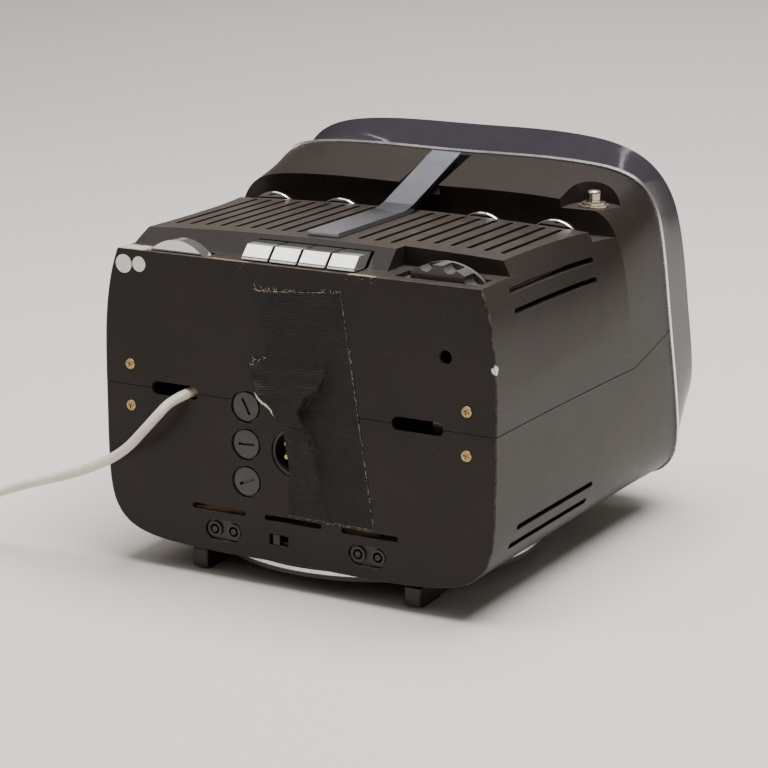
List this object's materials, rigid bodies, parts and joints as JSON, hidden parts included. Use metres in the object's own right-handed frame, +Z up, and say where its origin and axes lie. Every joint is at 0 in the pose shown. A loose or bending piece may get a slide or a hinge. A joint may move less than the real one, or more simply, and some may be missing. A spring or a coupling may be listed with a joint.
{
  "type": "portable television",
  "caption": "Small portable television with an upward-tilted head, slotted deck, folding handle, aerial, keys, swivel base and mains lead.",
  "frame": {"origin": "on the ground under the middle of the set, without its mains lead", "axes": "+Z up, the screen faces -Y, the rear face is at +Y, +X is on the right of a viewer of the screen"},
  "size_m": [0.4259, 0.3989, 0.2177],
  "materials": {
    "shell_plastic": "satin moulded",
    "black_plastic": "fine texture",
    "dark_plastic": "satin",
    "smoked_acrylic": "polished",
    "tube_glass": "polished",
    "chrome": "bright",
    "handle_chrome": "satin",
    "zinc": "plated",
    "steel": "sheet",
    "brass": "turned",
    "copper_winding": "lacquered",
    "board": "phenolic laminate",
    "component": "sleeved",
    "rubber": "matt",
    "cord_pvc": "aged white",
    "label_paper": "paper",
    "tape_cloth": "coated cloth",
    "fuse_glass": "clear"
  },
  "bodies": {
    "base": {"base_plate": "black_plastic", "runner_pads": "rubber", "turntable_ring": "chrome"},
    "cabinet": {"upper_shell": "shell_plastic", "lower_shell": "shell_plastic", "front_trim_strip": "chrome", "front_visor": "smoked_acrylic", "screen_mask": "black_plastic", "picture_tube": "tube_glass", "tube_band": "steel", "deflection_yoke": "copper_winding", "tube_base": "black_plastic", "handle_bracket": "steel", "handle_pin": "steel", "aerial_socket": "chrome", "key_switch_bank": "board", "volume_pot": "steel", "tuner_box": "steel", "preset_pots": "board", "fuse_holders": "black_plastic", "fuses": "fuse_glass", "power_socket": "black_plastic", "power_contacts": "brass", "aerial_sockets": "black_plastic", "mode_switch": "black_plastic", "rear_screws": "zinc", "joining_straps": "steel", "main_board": "board", "board_components": "component", "mains_transformer": "steel", "line_transformer": "black_plastic", "chassis_plate": "steel", "loudspeaker": "black_plastic", "pivot_bolt": "steel", "round_labels": "label_paper", "gaffer_tape": "tape_cloth", "cord_lead": "cord_pvc", "cord_tail": "cord_pvc", "cord_coil": "cord_pvc", "mains_plug": "cord_pvc", "plug_prongs": "brass"},
    "handle": {"handle": "handle_chrome"},
    "aerial_section_1": {"aerial_section_1": "chrome"},
    "aerial_section_2": {"aerial_section_2": "chrome"},
    "aerial_section_3": {"aerial_section_3": "chrome"},
    "aerial_section_4": {"aerial_section_4": "chrome"},
    "key_1": {"key_1": "chrome"},
    "key_2": {"key_2": "chrome"},
    "key_3": {"key_3": "chrome"},
    "key_4": {"key_4": "chrome"},
    "volume_wheel": {"volume_wheel": "chrome"},
    "tuning_wheel": {"tuning_wheel": "dark_plastic"},
    "thumbwheel_1": {"thumbwheel_1": "chrome"},
    "thumbwheel_2": {"thumbwheel_2": "chrome"},
    "thumbwheel_3": {"thumbwheel_3": "chrome"},
    "thumbwheel_4": {"thumbwheel_4": "chrome"},
    "fuse_cap_1": {"fuse_cap_1": "dark_plastic"},
    "fuse_cap_2": {"fuse_cap_2": "dark_plastic"},
    "fuse_cap_3": {"fuse_cap_3": "dark_plastic"},
    "mode_slider": {"mode_slider": "black_plastic"}
  },
  "joints": [
    {"name": "base_swivel", "type": "hinge", "parent": "base", "child": "cabinet", "pos_m": [0, 0.033, 0.013], "axis": [0, 0, 1], "range_deg": [-90, 90]},
    {"name": "handle_hinge", "type": "hinge", "parent": "cabinet", "child": "handle", "pos_m": [0, -0.0405, 0.1999], "axis": [1, 0, 0], "range_deg": [0, 90]},
    {"name": "aerial_slide_1", "type": "slide", "parent": "cabinet", "child": "aerial_section_1", "axis": [0, 0, 1], "range_m": [0, 0.095]},
    {"name": "aerial_slide_2", "type": "slide", "parent": "aerial_section_1", "child": "aerial_section_2", "axis": [0, 0, 1], "range_m": [0, 0.095]},
    {"name": "aerial_slide_3", "type": "slide", "parent": "aerial_section_2", "child": "aerial_section_3", "axis": [0, 0, 1], "range_m": [0, 0.095]},
    {"name": "aerial_slide_4", "type": "slide", "parent": "aerial_section_3", "child": "aerial_section_4", "axis": [0, 0, 1], "range_m": [0, 0.095]},
    {"name": "key_1_press", "type": "slide", "parent": "cabinet", "child": "key_1", "axis": [0, -1, 0], "range_m": [0, 0.004], "stiffness_N_per_m": 250},
    {"name": "key_2_press", "type": "slide", "parent": "cabinet", "child": "key_2", "axis": [0, -1, 0], "range_m": [0, 0.004], "stiffness_N_per_m": 250},
    {"name": "key_3_press", "type": "slide", "parent": "cabinet", "child": "key_3", "axis": [0, -1, 0], "range_m": [0, 0.004], "stiffness_N_per_m": 250},
    {"name": "key_4_press", "type": "slide", "parent": "cabinet", "child": "key_4", "axis": [0, -1, 0], "range_m": [0, 0.004], "stiffness_N_per_m": 250},
    {"name": "volume_turn", "type": "hinge", "parent": "cabinet", "child": "volume_wheel", "pos_m": [0.0715, 0.1175, 0.156], "axis": [0, 1, 0], "range_deg": [-135, 135]},
    {"name": "tuning_turn", "type": "hinge", "parent": "cabinet", "child": "tuning_wheel", "pos_m": [-0.0774, 0.1105, 0.15], "axis": [0, 1, 0], "range_deg": [-170, 170]},
    {"name": "thumbwheel_1_turn", "type": "hinge", "parent": "cabinet", "child": "thumbwheel_1", "pos_m": [0.086, -0.0005, 0.1668], "axis": [0, 1, 0], "range_deg": [-135, 135]},
    {"name": "thumbwheel_2_turn", "type": "hinge", "parent": "cabinet", "child": "thumbwheel_2", "pos_m": [0.0435, -0.0005, 0.1668], "axis": [0, 1, 0], "range_deg": [-135, 135]},
    {"name": "thumbwheel_3_turn", "type": "hinge", "parent": "cabinet", "child": "thumbwheel_3", "pos_m": [-0.0435, -0.0005, 0.1668], "axis": [0, 1, 0], "range_deg": [-135, 135]},
    {"name": "thumbwheel_4_turn", "type": "hinge", "parent": "cabinet", "child": "thumbwheel_4", "pos_m": [-0.086, -0.0005, 0.1668], "axis": [0, 1, 0], "range_deg": [-135, 135]},
    {"name": "fuse_cap_1_turn", "type": "hinge", "parent": "cabinet", "child": "fuse_cap_1", "pos_m": [0.0283, 0.1215, 0.096], "axis": [0, 1, 0], "range_deg": [0, 90]},
    {"name": "fuse_cap_2_turn", "type": "hinge", "parent": "cabinet", "child": "fuse_cap_2", "pos_m": [0.0283, 0.1215, 0.076], "axis": [0, 1, 0], "range_deg": [0, 90]},
    {"name": "fuse_cap_3_turn", "type": "hinge", "parent": "cabinet", "child": "fuse_cap_3", "pos_m": [0.0283, 0.1215, 0.056], "axis": [0, 1, 0], "range_deg": [0, 90]},
    {"name": "mode_slide", "type": "slide", "parent": "cabinet", "child": "mode_slider", "axis": [-1, 0, 0], "range_m": [0, 0.0034]}
  ],
  "couplings": [
    {"joint": "aerial_slide_2", "follows": "aerial_slide_1", "ratio": 1},
    {"joint": "aerial_slide_3", "follows": "aerial_slide_1", "ratio": 1},
    {"joint": "aerial_slide_4", "follows": "aerial_slide_1", "ratio": 1}
  ]
}
